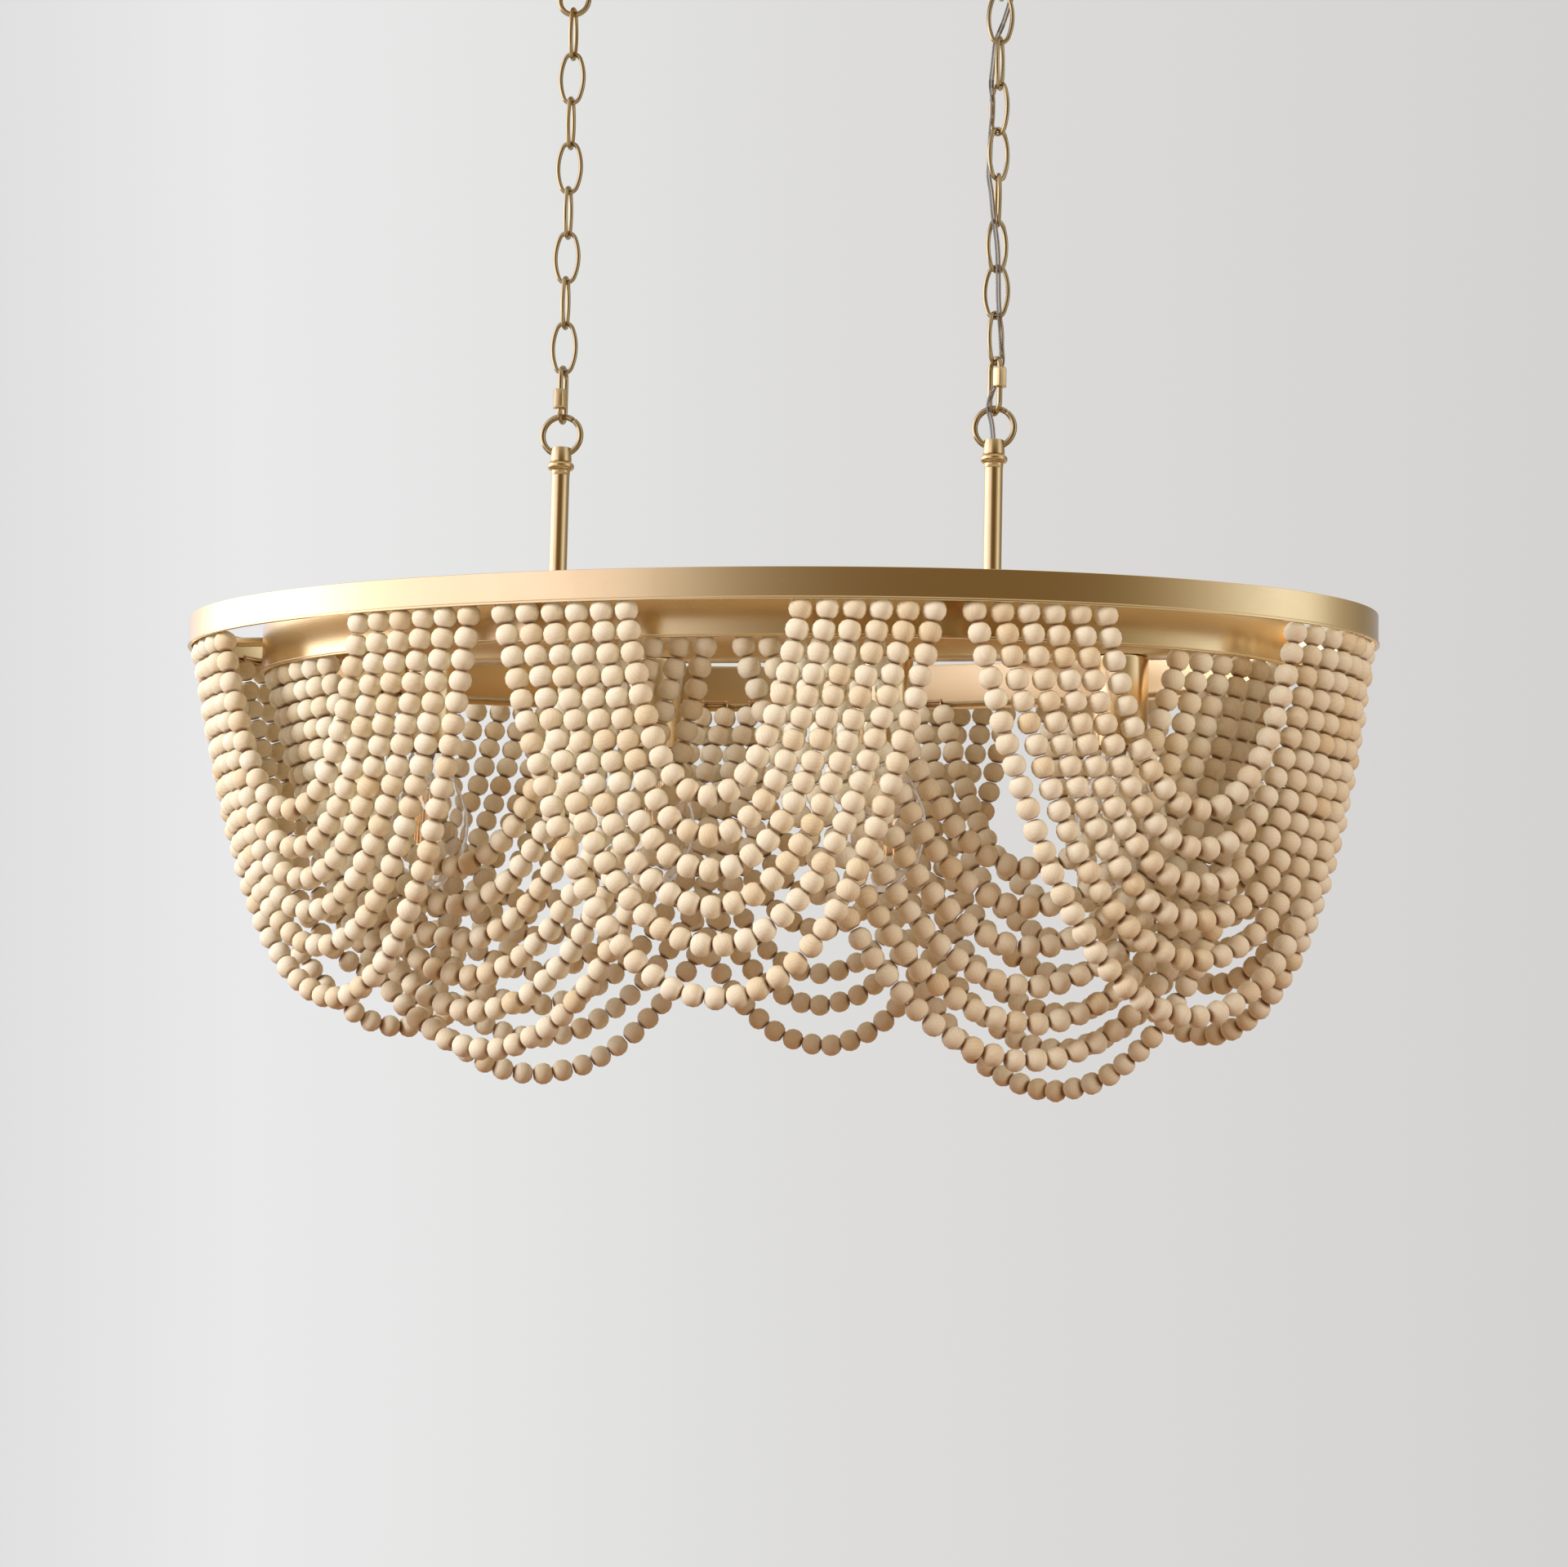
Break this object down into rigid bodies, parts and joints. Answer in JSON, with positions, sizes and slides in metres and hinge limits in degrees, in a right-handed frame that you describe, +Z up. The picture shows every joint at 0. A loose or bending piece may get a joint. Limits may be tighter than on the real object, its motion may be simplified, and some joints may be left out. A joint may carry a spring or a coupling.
{
  "type": "beaded chandelier",
  "caption": "Oval two-tier beaded chandelier: brass bands with swags of wooden beads, a channel with lamp sockets and clear bulbs, hung by stems and chains from an oblong canopy.",
  "frame": {"origin": "middle of the face that lies against the ceiling, on the mounting bar's top", "axes": "+X along the oval's long axis, to the right seen from the front; +Y away from the viewer; +Z up into the ceiling"},
  "size_m": [0.9016, 0.4516, 0.8721],
  "materials": {
    "satin_brass": "brushed satin brass",
    "antique_brass": "darker antique brass",
    "plated_bar": "plated steel",
    "wooden_beads": "pale natural wood, unvarnished",
    "bulb_glass": "clear glass",
    "clear_cord": "clear flexible insulation"
  },
  "bodies": {
    "canopy": {"canopy": "satin_brass", "mounting_bar": "plated_bar", "canopy_knob_left": "satin_brass", "canopy_knob_right": "satin_brass", "canopy_loop_left": "antique_brass", "canopy_loop_right": "antique_brass"},
    "top_links": {"chain_link_left_1": "antique_brass", "chain_link_right_1": "antique_brass"},
    "right_chain": {"chain_link_right_2": "antique_brass", "chain_link_right_3": "antique_brass", "chain_link_right_4": "antique_brass", "chain_link_right_5": "antique_brass", "chain_link_right_6": "antique_brass", "chain_link_right_7": "antique_brass", "chain_link_right_8": "antique_brass", "quick_link_right": "antique_brass", "supply_cord": "clear_cord"},
    "left_chain": {"chain_link_left_2": "antique_brass", "chain_link_left_3": "antique_brass", "chain_link_left_4": "antique_brass", "chain_link_left_5": "antique_brass", "chain_link_left_6": "antique_brass", "chain_link_left_7": "antique_brass", "chain_link_left_8": "antique_brass", "quick_link_left": "antique_brass"},
    "frame": {"eye_ring_left": "antique_brass", "stem_cap_left": "satin_brass", "stem_left": "satin_brass", "cross_arm_left": "antique_brass", "end_spoke_left": "antique_brass", "eye_ring_right": "antique_brass", "stem_cap_right": "satin_brass", "stem_right": "satin_brass", "cross_arm_right": "antique_brass", "end_spoke_right": "antique_brass", "channel": "satin_brass", "outer_band": "satin_brass", "inner_band": "satin_brass", "outer_rail": "antique_brass", "inner_rail": "antique_brass", "socket_cup_far_left": "satin_brass", "socket_cup_mid_left": "satin_brass", "socket_cup_mid_right": "satin_brass", "socket_cup_far_right": "satin_brass", "outer_swag_front": "wooden_beads", "outer_swag_front_right": "wooden_beads", "outer_swag_back_right": "wooden_beads", "outer_swag_back": "wooden_beads", "outer_swag_back_left": "wooden_beads", "outer_swag_front_left": "wooden_beads", "inner_swag_front_right": "wooden_beads", "inner_swag_back_right": "wooden_beads", "inner_swag_back_left": "wooden_beads", "inner_swag_front_left": "wooden_beads"},
    "nut_left": {"quick_link_nut_left": "satin_brass"},
    "nut_right": {"quick_link_nut_right": "satin_brass"},
    "lamp_far_left": {"bulb_far_left": "bulb_glass"},
    "lamp_mid_left": {"bulb_mid_left": "bulb_glass"},
    "lamp_mid_right": {"bulb_mid_right": "bulb_glass"},
    "lamp_far_right": {"bulb_far_right": "bulb_glass"}
  },
  "joints": [
    {"name": "swing", "type": "hinge", "parent": "canopy", "child": "top_links", "pos_m": [0, 0, -0.05238], "axis": [1, 0, 0], "range_deg": [-10, 10], "deforming": ["supply_cord"]},
    {"name": "right_sway", "type": "hinge", "parent": "top_links", "child": "right_chain", "pos_m": [0.166, 0, -0.08738], "axis": [0, 1, 0], "range_deg": [-8, 8], "deforming": ["supply_cord"]},
    {"name": "left_sway", "type": "hinge", "parent": "top_links", "child": "left_chain", "pos_m": [-0.166, 0, -0.08738], "axis": [0, 1, 0], "range_deg": [-8, 8]},
    {"name": "frame_level", "type": "hinge", "parent": "right_chain", "child": "frame", "pos_m": [0.166, 0, -0.37318], "axis": [0, 1, 0], "range_deg": [-8, 8], "deforming": ["supply_cord"]},
    {"name": "nut_left_slide", "type": "slide", "parent": "left_chain", "child": "nut_left", "axis": [0, 0, 1], "range_m": [0, 0.008]},
    {"name": "nut_right_slide", "type": "slide", "parent": "right_chain", "child": "nut_right", "axis": [0, 0, -1], "range_m": [0, 0.008]},
    {"name": "bulb_far_left_unscrew", "type": "slide", "parent": "frame", "child": "lamp_far_left", "axis": [0, 0, -1], "range_m": [0, 0.028]},
    {"name": "bulb_mid_left_unscrew", "type": "slide", "parent": "frame", "child": "lamp_mid_left", "axis": [0, 0, -1], "range_m": [0, 0.028]},
    {"name": "bulb_mid_right_unscrew", "type": "slide", "parent": "frame", "child": "lamp_mid_right", "axis": [0, 0, -1], "range_m": [0, 0.028]},
    {"name": "bulb_far_right_unscrew", "type": "slide", "parent": "frame", "child": "lamp_far_right", "axis": [0, 0, -1], "range_m": [0, 0.028]}
  ],
  "couplings": [
    {"joint": "left_sway", "follows": "right_sway", "ratio": 1},
    {"joint": "frame_level", "follows": "right_sway", "ratio": -1}
  ]
}
